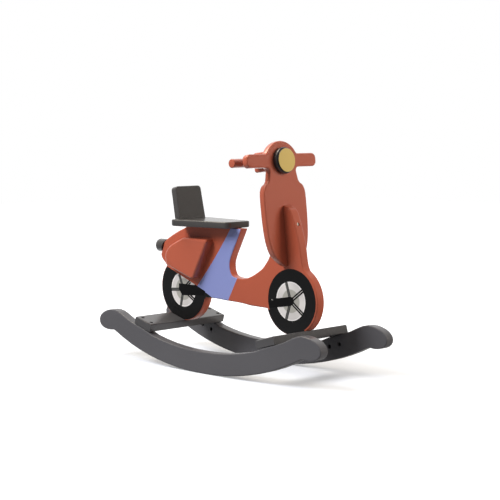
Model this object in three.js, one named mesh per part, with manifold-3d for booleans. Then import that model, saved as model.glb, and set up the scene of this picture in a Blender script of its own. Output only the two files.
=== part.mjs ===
// Rocking scooter for a toddler: a flat scooter body with seat, shield and handlebar on two rockers.
// Millimetres. X points forward, Y to the rider's left, Z up; the origin lies on the floor under the middle.

import * as THREE from 'three';
import { mergeVertices } from 'three/addons/utils/BufferGeometryUtils.js';
import Module from 'manifold-3d';

const wasm = await Module();
wasm.setup();

const degree = Math.PI / 180;

// Fits and facets
const seatGap = 0.3;
const boreGap = 0.4;
const overrun = 6;
const facetSag = 0.22;
const splineSteps = 3;
const roundSteps = 2;
const leastSides = 10;

// Rockers
const scooterWidth = 250;
const rockerThickness = 25;
const rockerBandWidth = 51.5;
const rockerEdgeRadius = 2.5;
const restFlatLength = 20;
const middleArc = { radius: 698, length: 172, bend: 1 };
const endArc = { radius: 590, length: 128, bend: 1 };
const crookArc = { radius: 44, length: 26.4, bend: -1 };
const knobLength = 47.5;
const knobPower = 0.95;

// Cross boards, each on a flat of the rockers' top edges
const boardTilt = 16 * degree;
const boardWidth = 57;
const boardThickness = 20;
const boardEdgeRadius = 2;
const boardShift = 19.5;
const flatRise = 3.6;

// Bolts and barrel nuts that hold the cross boards
const boltDiameter = 5;
const boltLength = 50;
const boltHeadDiameter = 8.5;
const boltHeadHeight = 2.6;
const boltRimHeight = 0.6;
const boltSocketWidth = 3;
const boltSocketDepth = 2;
const boltSpread = 32;
const barrelNutDiameter = 10;
const barrelNutLength = 14;
const barrelNutDepth = 42;

// Wood screws and dowels
const screwDiameter = 4;
const screwHeadDiameter = 8;
const screwHeadHeight = 2.6;
const screwRimHeight = 0.4;
const screwTipLength = 4;
const dowelDiameter = 8;
const dowelEdge = 0.8;

// Main panel, with the wheel discs
const panelThickness = 24;
const panelEdgeRadius = 3;
const wheelbase = 364;
const wheelRadius = 81;
const wheelFlatLength = 62;
const bodyRise = 157.2;
const panelScrewLength = 55;
const panelScrewSpread = 26;

// Outline of the panel: shares of the wheelbase from the middle, of the body's rise above the wheel centres
const panelTopRearShare = [-0.448, 1];
const panelTopFrontShare = [0.055, 1];
const tailTopShares = [[-0.497, 0.941], [-0.547, 0.897], [-0.61, 0.827], [-0.66, 0.761], [-0.692, 0.704]];
const tailLipShares = [[-0.727, 0.507], [-0.7205, 0.45], [-0.7, 0.399]];
const tailMeetsWheelAngle = 139 * degree;
const bellyMeetsRearWheelAngle = 348 * degree;
const bellyShares = [[-0.19, -0.105], [-0.0755, -0.118], [0.0456, -0.127], [0.137, -0.149]];
const bellyMeetsFrontWheelAngle = 197.6 * degree;
const finMeetsWheelAngle = 420.3 * degree;
const finFrontShares = [
  [0.596, 0.509], [0.5865, 0.598], [0.577, 0.744], [0.563, 0.891], [0.5426, 1.034],
  [0.526, 1.151], [0.508, 1.26], [0.481, 1.349], [0.431, 1.387],
];
const ribShares = [
  [0.404, 1.056], [0.365, 0.961], [0.335, 0.833], [0.319, 0.706], [0.305, 0.611], [0.283, 0.534],
  [0.247, 0.439], [0.202, 0.369], [0.1566, 0.31], [0.103, 0.262], [0.0522, 0.245],
];
const stepRearShares = [
  [-0.0209, 0.267], [-0.044, 0.324], [-0.0522, 0.394], [-0.0522, 0.471], [-0.0385, 0.566],
  [-0.0151, 0.674], [0.0132, 0.802], [0.0412, 0.926],
];

// Side cowls
const cowlThickness = 24;
const cowlEdgeRadius = 4.5;
const cowlCornerRadius = 6;
const cowlShoulderRadius = 34;
const cowlTailRadius = 18;
const cowlToeRadius = 12;
const cowlTopShare = 0.814;
const cowlTopFrontShare = -0.195;
const cowlTopRearShare = -0.437;
const cowlShoulderShare = [-0.563, 0.681];
const cowlTailTopShare = [-0.613, 0.56];
const cowlTailFootShare = [-0.609, 0.366];
const cowlToeShare = [-0.3415, 0.169];
const cowlDowelLength = 56;
const cowlDowelShares = [[-0.29, 0.62], [-0.5, 0.48]];

// Seat and backrest
const seatThickness = 16;
const seatEdgeRadius = 3;
const seatLength = 181;
const seatRearWidth = 130;
const seatFrontWidth = 80;
const seatCornerRadius = 15;
const seatRearShare = -0.4863;
const seatDowelLength = 26;
const seatDowelShares = [-0.38, -0.2, -0.02];
const backrestThickness = 18;
const backrestEdgeRadius = 2.5;
const backrestFootWidth = 89;
const backrestTopWidth = 84;
const backrestCornerRadius = 9;
const backrestHeight = 79.5;
const backrestLean = 11.6 * degree;
const backrestScrewLength = 38;
const backrestScrewSpread = 50;

// Round tail piece
const tailDiameter = 33;
const tailLength = 24;
const tailEdgeRadius = 2.5;
const tailHeightShare = 0.64;
const tailDowelLength = 30;

// Shield: heights along the slope from its lowest point
const shieldThickness = 16;
const shieldEdgeRadius = 3;
const shieldRake = 6.7 * degree;
const shieldFootShare = [0.4512, 0.4898];
const shieldHalfWidth = 71;
const shieldShoulderHeight = 229;
const shieldLapHeight = 52;
const neckHalfWidth = 42;
const neckFilletRadius = 9;
const armHalfLength = 115.5;
const armDepth = 31.6;
const armCornerRadius = 12.5;
const headRadius = 57.5;
const headAboveArmFoot = 3.7;
const headFilletRadius = 6;
// Outline of the shield below its arms: shares of its half width and of its shoulder height
const shieldFlankShares = [
  [0.17, 0.004], [0.35, 0.0195], [0.563, 0.0686], [0.775, 0.1363], [0.893, 0.2287], [0.955, 0.33],
  [0.99, 0.47], [1, 0.62], [0.998, 0.69], [0.979, 0.7564], [0.915, 0.806], [0.84, 0.829], [0.76, 0.842],
  [0.69, 0.87],
];

// Headlight
const headlightDiameter = 62;
const headlightDepth = 11;
const headlightEdgeRadius = 3;
const headlightAboveArmFoot = 15.3;
const lensDiameter = 55;
const lensThickness = 5;
const lensStand = 3;
const lensEdgeRadius = 1;
const headlightDowelLength = 18;

// Handlebar
const blockWidth = 56;
const blockHeight = 46.5;
const blockAboveHandle = 0.7;
const blockDepth = 50;
const blockEdgeRadius = 4;
const blockCornerRadius = 5;
const handleDiameter = 21;
const handleLength = 236;
const handleEdgeRadius = 2;
const handleBehindShield = 32;
const handleAboveArmFoot = 15.7;
const blockScrewLength = 40;
const blockScrewSpread = 30;
const blockScrewDrop = 14.7;

// Screw in the fin
const finScrewHeight = 95;
const finScrewReach = 38;
const finScrewBite = 12;

const finishes = {
  charcoal: { color: 0x5a595d, roughness: 0.55, metalness: 0 },
  orange: { color: 0xb45e46, roughness: 0.55, metalness: 0 },
  slate: { color: 0x4a4a4b, roughness: 0.4, metalness: 0 },
  black: { color: 0x1c1c1e, roughness: 0.4, metalness: 0 },
  yellow: { color: 0xcbb464, roughness: 0.4, metalness: 0 },
  blackSteel: { color: 0x26262a, roughness: 0.35, metalness: 0.9 },
  zincSteel: { color: 0xa9abb0, roughness: 0.3, metalness: 0.9 },
  beech: { color: 0xc9a877, roughness: 0.7, metalness: 0 },
};

const yAxis = new THREE.Vector3(0, 1, 0);

function point(x, y) {
  return new THREE.Vector2(x, y);
}

// A direction in the XZ plane as a 3-D vector.
function upright(x, z) {
  return new THREE.Vector3(x, 0, z);
}

function placement(xDirection, yDirection, zDirection, origin) {
  return new THREE.Matrix4().makeBasis(xDirection, yDirection, zDirection).setPosition(origin);
}

function shift(x, y, z) {
  return new THREE.Matrix4().makeTranslation(x, y, z);
}

// Points on a circle from one angle to another, with each facet within the sag.
function arcPoints(centre, radius, from, to) {
  const step = 2 * Math.acos(1 - facetSag / radius);
  const count = Math.max(1, Math.ceil(Math.abs(to - from) / step));
  return Array.from({ length: count + 1 }, (unused, index) => {
    const angle = from + ((to - from) * index) / count;
    return point(centre.x + radius * Math.cos(angle), centre.y + radius * Math.sin(angle));
  });
}

function curvePoints(points) {
  return new THREE.SplineCurve(points).getPoints((points.length - 1) * splineSteps);
}

// The arc that rounds the corner between two straight edges.
function cornerArc(before, corner, after, radius) {
  if (radius === 0) {
    return [corner];
  }
  const toBefore = before.clone().sub(corner).normalize();
  const toAfter = after.clone().sub(corner).normalize();
  const halfAngle = Math.acos(toBefore.dot(toAfter)) / 2;
  const reach = radius / Math.tan(halfAngle);
  const centre = toBefore.clone().add(toAfter).setLength(radius / Math.sin(halfAngle)).add(corner);
  const start = toBefore.multiplyScalar(reach).add(corner).sub(centre);
  const end = toAfter.multiplyScalar(reach).add(corner).sub(centre);
  const sweep = Math.atan2(start.cross(end), start.dot(end));
  return arcPoints(centre, radius, start.angle(), start.angle() + sweep);
}

// A closed outline of straight edges with rounded corners, each corner given as x, y and radius.
function roundedOutline(corners) {
  const at = corners.map(([x, y]) => point(x, y));
  return corners.flatMap(([, , radius], index) => {
    const before = at[(index + at.length - 1) % at.length];
    const after = at[(index + 1) % at.length];
    return cornerArc(before, at[index], after, radius);
  });
}

function solid(geometry) {
  const bare = geometry.clone();
  bare.deleteAttribute('normal');
  bare.deleteAttribute('uv');
  const merged = mergeVertices(bare);
  return new wasm.Manifold(new wasm.Mesh({
    numProp: 3,
    vertProperties: new Float32Array(merged.attributes.position.array),
    triVerts: new Uint32Array(merged.index.array),
  }));
}

function placed(body, ...matrices) {
  return matrices.reduce((moved, matrix) => moved.transform(matrix.elements), body);
}

function cut(body, ...tools) {
  return tools.reduce((left, tool) => left.subtract(tool), body);
}

// A board with its outline in the local XY plane, its middle at height zero and its edges rounded.
function board(outline, thickness, edgeRadius) {
  const geometry = new THREE.ExtrudeGeometry(new THREE.Shape(outline), {
    depth: thickness - 2 * edgeRadius,
    bevelEnabled: edgeRadius > 0,
    bevelThickness: edgeRadius,
    bevelSize: edgeRadius,
    bevelOffset: -edgeRadius,
    bevelSegments: roundSteps,
  });
  return solid(geometry.translate(0, 0, edgeRadius - thickness / 2));
}

function box(width, depth, height) {
  return solid(new THREE.BoxGeometry(width, depth, height));
}

// A body turned about the local Z axis from a profile of radius and height.
function turned(profile, sides = leastSides) {
  const outline = profile.map(([radius, height]) => point(radius, height));
  return solid(new THREE.LatheGeometry(outline, sides).rotateX(Math.PI / 2));
}

// A round bar on the local Z axis from the lower to the upper height, with rounded or plain rims.
function bar(diameter, lower, upper, lowerEdge = 0, upperEdge = 0) {
  const radius = diameter / 2;
  const sides = Math.max(leastSides, Math.ceil(Math.PI / Math.acos(1 - facetSag / radius)));
  const lowerRim = arcPoints(point(radius - lowerEdge, lower + lowerEdge), lowerEdge, -Math.PI / 2, 0);
  const upperRim = arcPoints(point(radius - upperEdge, upper - upperEdge), upperEdge, 0, Math.PI / 2);
  const rim = [
    ...(lowerEdge > 0 ? lowerRim : [point(radius, lower)]),
    ...(upperEdge > 0 ? upperRim : [point(radius, upper)]),
  ];
  return turned([[0, lower], ...rim.map(({ x, y }) => [x, y]), [0, upper]], sides);
}

// A countersunk fastener on the local Z axis, its head's top at height zero and its point below.
function fastenerProfile(diameter, headDiameter, headHeight, rimHeight, length, tipLength) {
  return [
    [0, -length],
    [diameter / 4, -length],
    [diameter / 2, tipLength - length],
    [diameter / 2, -headHeight],
    [headDiameter / 2, -rimHeight],
    [headDiameter / 2, 0],
    [0, 0],
  ];
}

function bolt() {
  const body = turned(fastenerProfile(
    boltDiameter, boltHeadDiameter, boltHeadHeight, boltRimHeight, boltLength, boltDiameter / 4,
  ));
  const socketRadius = boltSocketWidth / Math.sqrt(3);
  const socket = new THREE.CylinderGeometry(socketRadius, socketRadius, 2 * boltSocketDepth, 6);
  return cut(body, solid(socket.rotateX(Math.PI / 2)));
}

function screw(length) {
  return turned(fastenerProfile(
    screwDiameter, screwHeadDiameter, screwHeadHeight, screwRimHeight, length, screwTipLength,
  ));
}

// The hole for a countersunk fastener, open above its head.
function fastenerHole(diameter, headDiameter, headHeight, length) {
  return turned([
    [0, -length - boreGap],
    [diameter / 2 + boreGap, -length - boreGap],
    [diameter / 2 + boreGap, -headHeight - boreGap],
    [headDiameter / 2 + boreGap, -boreGap],
    [headDiameter / 2 + boreGap, overrun],
    [0, overrun],
  ]);
}

function boltHole() {
  return fastenerHole(boltDiameter, boltHeadDiameter, boltHeadHeight, boltLength);
}

function screwHole(length) {
  return fastenerHole(screwDiameter, screwHeadDiameter, screwHeadHeight, length);
}

// A dowel centred on the local origin along Z, and the hole that it lies in.
function dowel(length) {
  return bar(dowelDiameter, -length / 2, length / 2, dowelEdge, dowelEdge);
}

function dowelHole(length) {
  return bar(dowelDiameter + 2 * boreGap, -length / 2 - boreGap, length / 2 + boreGap);
}

function piece(name, body, finish) {
  const { vertProperties, triVerts } = body.getMesh();
  const geometry = new THREE.BufferGeometry();
  geometry.setAttribute('position', new THREE.BufferAttribute(new Float32Array(vertProperties), 3));
  geometry.setIndex(new THREE.BufferAttribute(new Uint32Array(triVerts), 1));
  geometry.computeVertexNormals();
  const mesh = new THREE.Mesh(geometry, new THREE.MeshStandardMaterial(finish));
  mesh.name = name;
  return mesh;
}

function assembly(name, pieces) {
  const group = new THREE.Group();
  group.name = name;
  group.add(...pieces);
  return group;
}

// Turns a board's outline plane upright: its local X stays, its local Y becomes Z.
const standing = new THREE.Matrix4().makeRotationX(Math.PI / 2);
const aboutFace = new THREE.Matrix4().makeRotationZ(Math.PI);
const alongY = new THREE.Matrix4().makeRotationX(-Math.PI / 2);
const headDown = new THREE.Matrix4().makeRotationX(Math.PI);

// Centreline of the rocker's front half, as stations on a run of tangent arcs.
function rockerStations() {
  const start = point(restFlatLength / 2, rockerBandWidth / 2);
  const stations = [{ at: start, heading: 0 }];
  for (const arc of [middleArc, endArc, crookArc]) {
    const facet = Math.sqrt(8 * arc.radius * facetSag);
    const count = Math.ceil(arc.length / facet);
    const turn = (arc.bend * arc.length) / arc.radius / count;
    const chord = 2 * arc.radius * Math.sin(Math.abs(turn) / 2);
    for (let index = 0; index < count; index += 1) {
      const last = stations[stations.length - 1];
      const heading = last.heading + turn / 2;
      const at = point(last.at.x + chord * Math.cos(heading), last.at.y + chord * Math.sin(heading));
      stations.push({ at, heading: last.heading + turn, arc });
    }
  }
  return stations;
}

function besideStation({ at, heading }, distance) {
  return point(at.x - distance * Math.sin(heading), at.y + distance * Math.cos(heading));
}

const stations = rockerStations();

// Middle of the flat on a rocker's top edge: parallel to the edge's arc where that has the board's tilt.
function flatMiddle() {
  const start = stations.findLast((station) => station.arc === middleArc);
  const centre = besideStation(start, endArc.radius);
  const reach = rockerBandWidth / 2 + flatRise - endArc.radius;
  return besideStation({ at: centre, heading: boardTilt }, reach);
}

const flatCentre = flatMiddle();
const flatDirection = upright(Math.cos(boardTilt), Math.sin(boardTilt));
const flatNormal = upright(-Math.sin(boardTilt), Math.cos(boardTilt));

// Frame of the front cross board, its origin on the middle of the board's top face.
const boardSeat = upright(flatCentre.x, flatCentre.y).addScaledVector(flatDirection, boardShift);
const boardTop = boardSeat.clone().addScaledVector(flatNormal, boardThickness + seatGap);
const frontBoardFrame = placement(flatDirection, yAxis, flatNormal, boardTop);
const rearBoardFrame = aboutFace.clone().multiply(frontBoardFrame);
const ends = ['front', 'rear'];
const boardFrames = { front: frontBoardFrame, rear: rearBoardFrame };
// The rear frame is the front one turned about, so its local left is the scooter's right.
const boardSides = { front: 1, rear: -1 };

// Wheel centres lie where each disc, cut flat by the board's top, has its flat length.
const wheelAboveBoard = Math.sqrt(wheelRadius ** 2 - (wheelFlatLength / 2) ** 2) + seatGap;
const wheelSlopeRise = ((wheelbase / 2 - boardTop.x) * flatNormal.x) / flatNormal.z;
const wheelHeight = boardTop.z + wheelAboveBoard / flatNormal.z - wheelSlopeRise;
const wheelCentres = { front: point(wheelbase / 2, wheelHeight), rear: point(-wheelbase / 2, wheelHeight) };

// A place on the body's side view, from its two shares.
function bodyPoint([alongShare, upShare]) {
  return point(alongShare * wheelbase, wheelHeight + upShare * bodyRise);
}

const bodyTop = wheelHeight + bodyRise;
const seatBottom = bodyTop + seatGap;
const seatTop = seatBottom + seatThickness;
const seatRear = seatRearShare * wheelbase;

// Frame of the shield: X across, Y up its slope, Z out of its front face, origin at its lowest point.
const shieldFoot = bodyPoint(shieldFootShare);
const shieldFrame = placement(
  yAxis,
  upright(-Math.sin(shieldRake), Math.cos(shieldRake)),
  upright(Math.cos(shieldRake), Math.sin(shieldRake)),
  upright(shieldFoot.x, shieldFoot.y),
);

// Frame of the backrest: X across, Y up its slope, Z out of its front face, origin at its foot.
const backrestFrame = placement(
  yAxis,
  upright(-Math.sin(backrestLean), Math.cos(backrestLean)),
  upright(Math.cos(backrestLean), Math.sin(backrestLean)),
  upright(seatRear + backrestThickness / 2 / Math.cos(backrestLean), seatTop + seatGap),
);

// Local places on a cross board: bolts over the rockers, screws under the panel.
const boltPlaces = [-1, 1].flatMap((side) => [-1, 1].map((end) => (
  shift((end * boltSpread) / 2, (side * (scooterWidth - rockerThickness)) / 2, -boreGap)
)));
const panelScrewPlaces = [-1, 1].map((end) => (
  shift((end * panelScrewSpread) / 2, 0, boreGap - boardThickness)
));

function knobPoints({ at, heading }) {
  const half = rockerBandWidth / 2;
  const count = Math.ceil(Math.PI / 2 / Math.acos(1 - facetSag / half));
  return Array.from({ length: count - 1 }, (unused, index) => {
    const angle = Math.PI * ((index + 1) / count - 0.5);
    const out = knobLength * Math.cos(angle) ** knobPower;
    const side = half * Math.sign(angle) * Math.abs(Math.sin(angle)) ** knobPower;
    return besideStation({
      at: point(at.x + out * Math.cos(heading), at.y + out * Math.sin(heading)),
      heading,
    }, side);
  });
}

// The rocker's upper edge follows the arc, except where the board's flat rises above it.
function upperEdgePoint(station) {
  const edge = besideStation(station, rockerBandWidth / 2);
  const flatHeight = flatCentre.y + (edge.x - flatCentre.x) * Math.tan(boardTilt);
  return station.arc === endArc ? point(edge.x, Math.max(edge.y, flatHeight)) : edge;
}

function rockerOutline() {
  const lower = stations.map((station) => besideStation(station, -rockerBandWidth / 2));
  const upper = stations.map(upperEdgePoint).reverse();
  const front = [...lower, ...knobPoints(stations[stations.length - 1]), ...upper];
  const rear = front.map(({ x, y }) => point(-x, y)).reverse();
  return [...front, ...rear];
}

// The hole for a barrel nut, open on the rocker's inner face.
function barrelNutBore(place, side) {
  const length = (rockerThickness + barrelNutLength) / 2 + overrun + boreGap;
  const bore = bar(barrelNutDiameter + 2 * boreGap, 0, length);
  const inward = new THREE.Matrix4().makeRotationX((side * Math.PI) / 2);
  return placed(bore, inward, shift(0, side * (barrelNutLength / 2 + boreGap), -barrelNutDepth), place);
}

function rocker(side) {
  const blank = placed(
    board(rockerOutline(), rockerThickness, rockerEdgeRadius),
    standing,
    shift(0, (side * (scooterWidth - rockerThickness)) / 2, 0),
  );
  const tools = ends.flatMap((end) => boltPlaces.flatMap((place) => [
    placed(boltHole(), place, boardFrames[end]),
    placed(barrelNutBore(place, boardSides[end] * side), boardFrames[end]),
  ]));
  return cut(blank, ...tools);
}

function crossBoard(frame) {
  const outline = roundedOutline([
    [boardWidth / 2, scooterWidth / 2, 0],
    [-boardWidth / 2, scooterWidth / 2, 0],
    [-boardWidth / 2, -scooterWidth / 2, 0],
    [boardWidth / 2, -scooterWidth / 2, 0],
  ]);
  const blank = placed(board(outline, boardThickness, boardEdgeRadius), shift(0, 0, -boardThickness / 2));
  const holes = [
    ...boltPlaces.map((place) => placed(boltHole(), place)),
    ...panelScrewPlaces.map((place) => placed(screwHole(panelScrewLength), headDown, place)),
  ];
  return placed(cut(blank, ...holes), frame);
}

function barrelNut() {
  const nut = bar(barrelNutDiameter, -barrelNutLength / 2, barrelNutLength / 2);
  const thread = bar(boltDiameter + 2 * boreGap, -barrelNutDiameter, barrelNutDiameter);
  return placed(cut(placed(nut, alongY), thread), shift(0, 0, -barrelNutDepth));
}

function panelOutline() {
  const { front, rear } = wheelCentres;
  return [
    bodyPoint(panelTopFrontShare),
    bodyPoint(panelTopRearShare),
    ...curvePoints(tailTopShares.map(bodyPoint)),
    ...curvePoints(tailLipShares.map(bodyPoint)),
    ...arcPoints(rear, wheelRadius, tailMeetsWheelAngle, bellyMeetsRearWheelAngle),
    ...curvePoints(bellyShares.map(bodyPoint)),
    ...arcPoints(front, wheelRadius, bellyMeetsFrontWheelAngle, finMeetsWheelAngle),
    ...curvePoints(finFrontShares.map(bodyPoint)),
    ...curvePoints([...ribShares, ...stepRearShares].map(bodyPoint)),
  ];
}

// Places of the dowels that hold the cowls, the seat and the tail piece.
const cowlDowelPlaces = cowlDowelShares.map(bodyPoint).map(({ x, y }) => (
  alongY.clone().premultiply(shift(x, 0, y))
));
const seatDowelPlaces = seatDowelShares.map((share) => shift(share * wheelbase, 0, seatBottom));
const tailSeat = tailTopShares.concat(tailLipShares).map(bodyPoint);
const tailSeatTop = tailSeat[tailTopShares.length - 1];
const tailSeatFoot = tailSeat[tailTopShares.length];
const tailSlope = tailSeatTop.clone().sub(tailSeatFoot).normalize();
const tailHeight = wheelHeight + tailHeightShare * bodyRise;
const tailFace = tailSeatFoot.x + ((tailHeight - tailSeatFoot.y) * tailSlope.x) / tailSlope.y;
const backward = new THREE.Matrix4().makeRotationY(-Math.PI / 2);
const tailFrame = backward.clone().premultiply(shift(tailFace, 0, tailHeight));

// Room for the shield in the panel: the shield's own slab above the lap, with a gap on each side.
function panelLapCut() {
  const height = shieldShoulderHeight + 2 * overrun;
  const slab = box(panelThickness + 2 * overrun, height, shieldThickness + 2 * seatGap);
  return placed(slab, shift(0, shieldLapHeight + height / 2, 0), shieldFrame);
}

function shieldLapCut() {
  const height = shieldLapHeight + seatGap + overrun;
  const slab = box(panelThickness + 2 * seatGap, height, shieldThickness + 2 * overrun);
  return placed(slab, shift(0, height / 2 - overrun, 0));
}

// The fin's screw runs square to the shield, its head before the fin's front edge.
const finScrewLength = finScrewReach + finScrewBite - shieldThickness / 2;
const finScrewPlace = shift(0, finScrewHeight, finScrewReach);

function mainPanel() {
  const blank = placed(board(panelOutline(), panelThickness, panelEdgeRadius), standing);
  const boardClear = box(wheelRadius, panelThickness + 2 * overrun, wheelRadius);
  const underWheels = Object.values(boardFrames).map((frame) => (
    placed(boardClear, shift(0, 0, seatGap - wheelRadius / 2), frame)
  ));
  const screwHoles = Object.values(boardFrames).flatMap((frame) => (
    panelScrewPlaces.map((place) => placed(screwHole(panelScrewLength), headDown, place, frame))
  ));
  return cut(
    blank,
    ...underWheels,
    ...screwHoles,
    panelLapCut(),
    ...cowlDowelPlaces.map((place) => placed(dowelHole(cowlDowelLength), place)),
    ...seatDowelPlaces.map((place) => placed(dowelHole(seatDowelLength), place)),
    placed(dowelHole(tailDowelLength), tailFrame),
    placed(screwHole(finScrewLength), finScrewPlace, shieldFrame),
  );
}

function cowl(side) {
  const top = bodyPoint([cowlTopFrontShare, cowlTopShare]);
  const topRear = bodyPoint([cowlTopRearShare, cowlTopShare]);
  const shoulder = bodyPoint(cowlShoulderShare);
  const tailTop = bodyPoint(cowlTailTopShare);
  const tailFoot = bodyPoint(cowlTailFootShare);
  const toe = bodyPoint(cowlToeShare);
  const outline = roundedOutline([
    [top.x, top.y, cowlCornerRadius],
    [topRear.x, topRear.y, cowlShoulderRadius],
    [shoulder.x, shoulder.y, cowlShoulderRadius],
    [tailTop.x, tailTop.y, cowlTailRadius],
    [tailFoot.x, tailFoot.y, cowlCornerRadius],
    [toe.x, toe.y, cowlToeRadius],
  ]);
  // The board is made thicker by one rounding, which is cut away to leave the inner face sharp.
  const blank = placed(board(outline, cowlThickness + cowlEdgeRadius, cowlEdgeRadius), standing);
  const middle = panelThickness / 2 + seatGap + (cowlThickness - cowlEdgeRadius) / 2;
  const inner = box(2 * wheelbase, panelThickness + 2 * seatGap, 2 * (bodyTop + overrun));
  const half = placed(blank, shift(0, side * middle, 0));
  return cut(half, inner, ...cowlDowelPlaces.map((place) => placed(dowelHole(cowlDowelLength), place)));
}

// Backrest screws stand upright, their heads in the seat's underside.
const backrestScrewPlaces = [-1, 1].map((side) => shift(
  seatRear + backrestThickness / 2 / Math.cos(backrestLean),
  (side * backrestScrewSpread) / 2,
  seatBottom + boreGap,
));

function seat() {
  const outline = roundedOutline([
    [seatRear + seatLength, seatFrontWidth / 2, seatCornerRadius],
    [seatRear, seatRearWidth / 2, seatCornerRadius],
    [seatRear, -seatRearWidth / 2, seatCornerRadius],
    [seatRear + seatLength, -seatFrontWidth / 2, seatCornerRadius],
  ]);
  const middle = shift(0, 0, seatTop - seatThickness / 2);
  const blank = placed(board(outline, seatThickness, seatEdgeRadius), middle);
  return cut(
    blank,
    ...backrestScrewPlaces.map((place) => placed(screwHole(backrestScrewLength), headDown, place)),
    ...seatDowelPlaces.map((place) => placed(dowelHole(seatDowelLength), place)),
  );
}

function backrest() {
  const outline = roundedOutline([
    [backrestFootWidth / 2, -backrestThickness, 0],
    [backrestTopWidth / 2, backrestHeight, backrestCornerRadius],
    [-backrestTopWidth / 2, backrestHeight, backrestCornerRadius],
    [-backrestFootWidth / 2, -backrestThickness, 0],
  ]);
  const blank = placed(board(outline, backrestThickness, backrestEdgeRadius), backrestFrame);
  const below = box(seatLength, seatRearWidth, 2 * backrestHeight);
  return cut(
    blank,
    placed(below, shift(seatRear, 0, seatTop + seatGap - backrestHeight)),
    ...backrestScrewPlaces.map((place) => placed(screwHole(backrestScrewLength), headDown, place)),
  );
}

function tailPiece() {
  const blank = placed(bar(tailDiameter, -tailDiameter, tailLength, 0, tailEdgeRadius), tailFrame);
  const slopeFrame = placement(
    upright(tailSlope.y, -tailSlope.x),
    yAxis,
    upright(tailSlope.x, tailSlope.y),
    upright(tailSeatFoot.x, tailSeatFoot.y),
  );
  const before = box(2 * tailDiameter, 2 * tailDiameter, 4 * tailDiameter);
  return cut(
    blank,
    placed(before, shift(tailDiameter - seatGap, 0, 0), slopeFrame),
    placed(dowelHole(tailDowelLength), tailFrame),
  );
}

// Half of the shield's outline, from its lowest point up its flank, round the arm and over the head.
function shieldHalfOutline() {
  const armFoot = shieldShoulderHeight;
  const armTop = armFoot + armDepth;
  const headCentre = point(0, armFoot + headAboveArmFoot);
  const flank = shieldFlankShares.map(([across, rise]) => point(across * shieldHalfWidth, rise * armFoot));
  const shoulder = flank[flank.length - 1];
  const underArm = point(neckHalfWidth, armFoot);
  const armEndFoot = point(armHalfLength, armFoot);
  const armEndTop = point(armHalfLength, armTop);
  // The fillet between arm and head touches the arm's top and the head's circle.
  const filletRise = armTop + headFilletRadius - headCentre.y;
  const filletOut = Math.sqrt((headRadius + headFilletRadius) ** 2 - filletRise ** 2);
  const filletCentre = point(filletOut, armTop + headFilletRadius);
  const headAngle = Math.atan2(filletRise, filletOut);
  return [
    ...curvePoints([point(0, 0), ...flank]),
    ...cornerArc(shoulder, underArm, armEndFoot, neckFilletRadius),
    ...cornerArc(underArm, armEndFoot, armEndTop, armCornerRadius),
    ...cornerArc(armEndFoot, armEndTop, point(neckHalfWidth, armTop), armCornerRadius),
    ...arcPoints(filletCentre, headFilletRadius, -Math.PI / 2, -Math.PI + headAngle),
    ...arcPoints(headCentre, headRadius, headAngle, Math.PI / 2),
  ];
}

// Screws from the shield's front into the block, and the dowel behind the headlight.
const handleHeight = shieldShoulderHeight + handleAboveArmFoot;
const headlightHeight = shieldShoulderHeight + headlightAboveArmFoot;
const blockScrewPlaces = [-1, 1].map((side) => (
  shift((side * blockScrewSpread) / 2, handleHeight - blockScrewDrop, shieldThickness / 2 - boreGap)
));
const headlightDowelPlace = shift(0, headlightHeight, shieldThickness / 2);
const handlePlace = new THREE.Matrix4().makeRotationY(Math.PI / 2).premultiply(
  shift(0, handleHeight, -shieldThickness / 2 - handleBehindShield),
);

function shield() {
  const half = shieldHalfOutline();
  const middle = half.filter(({ x }) => x > facetSag);
  const mirrored = middle.map(({ x, y }) => point(-x, y)).reverse();
  const outline = [point(0, 0), ...middle, half[half.length - 1].clone().setX(0), ...mirrored];
  const local = cut(
    board(outline, shieldThickness, shieldEdgeRadius),
    shieldLapCut(),
    ...blockScrewPlaces.map((place) => placed(screwHole(blockScrewLength), place)),
    placed(dowelHole(headlightDowelLength), headlightDowelPlace),
    placed(screwHole(finScrewLength), finScrewPlace),
  );
  return placed(local, shieldFrame);
}

const headlightPlace = shift(0, headlightHeight, shieldThickness / 2 + seatGap);

const lensFoot = headlightDepth + lensStand - lensThickness;

function headlightHousing() {
  const local = cut(
    bar(headlightDiameter, 0, headlightDepth, 0, headlightEdgeRadius),
    bar(lensDiameter + 2 * boreGap, lensFoot - seatGap, headlightDepth + overrun),
  );
  return placed(
    cut(placed(local, headlightPlace), placed(dowelHole(headlightDowelLength), headlightDowelPlace)),
    shieldFrame,
  );
}

function headlightLens() {
  const disc = bar(lensDiameter, lensFoot, lensFoot + lensThickness, 0, lensEdgeRadius);
  return placed(disc, headlightPlace, shieldFrame);
}

function handlebarBlock() {
  const outline = roundedOutline([
    [blockWidth / 2, blockHeight / 2, blockCornerRadius],
    [-blockWidth / 2, blockHeight / 2, blockCornerRadius],
    [-blockWidth / 2, -blockHeight / 2, blockCornerRadius],
    [blockWidth / 2, -blockHeight / 2, blockCornerRadius],
  ]);
  const front = -shieldThickness / 2 - seatGap;
  const blank = placed(
    board(outline, blockDepth + blockEdgeRadius, blockEdgeRadius),
    shift(0, handleHeight + blockAboveHandle, front - (blockDepth - blockEdgeRadius) / 2),
  );
  const before = box(2 * blockWidth, 2 * blockHeight, 2 * blockDepth);
  const local = cut(
    blank,
    placed(before, shift(0, handleHeight + blockAboveHandle, front + blockDepth)),
    placed(bar(handleDiameter + 2 * seatGap, -blockWidth, blockWidth), handlePlace),
    ...blockScrewPlaces.map((place) => placed(screwHole(blockScrewLength), place)),
  );
  return placed(local, shieldFrame);
}

function handlebarDowel() {
  const handle = bar(
    handleDiameter, -handleLength / 2, handleLength / 2, handleEdgeRadius, handleEdgeRadius,
  );
  return placed(handle, handlePlace, shieldFrame);
}

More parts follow.
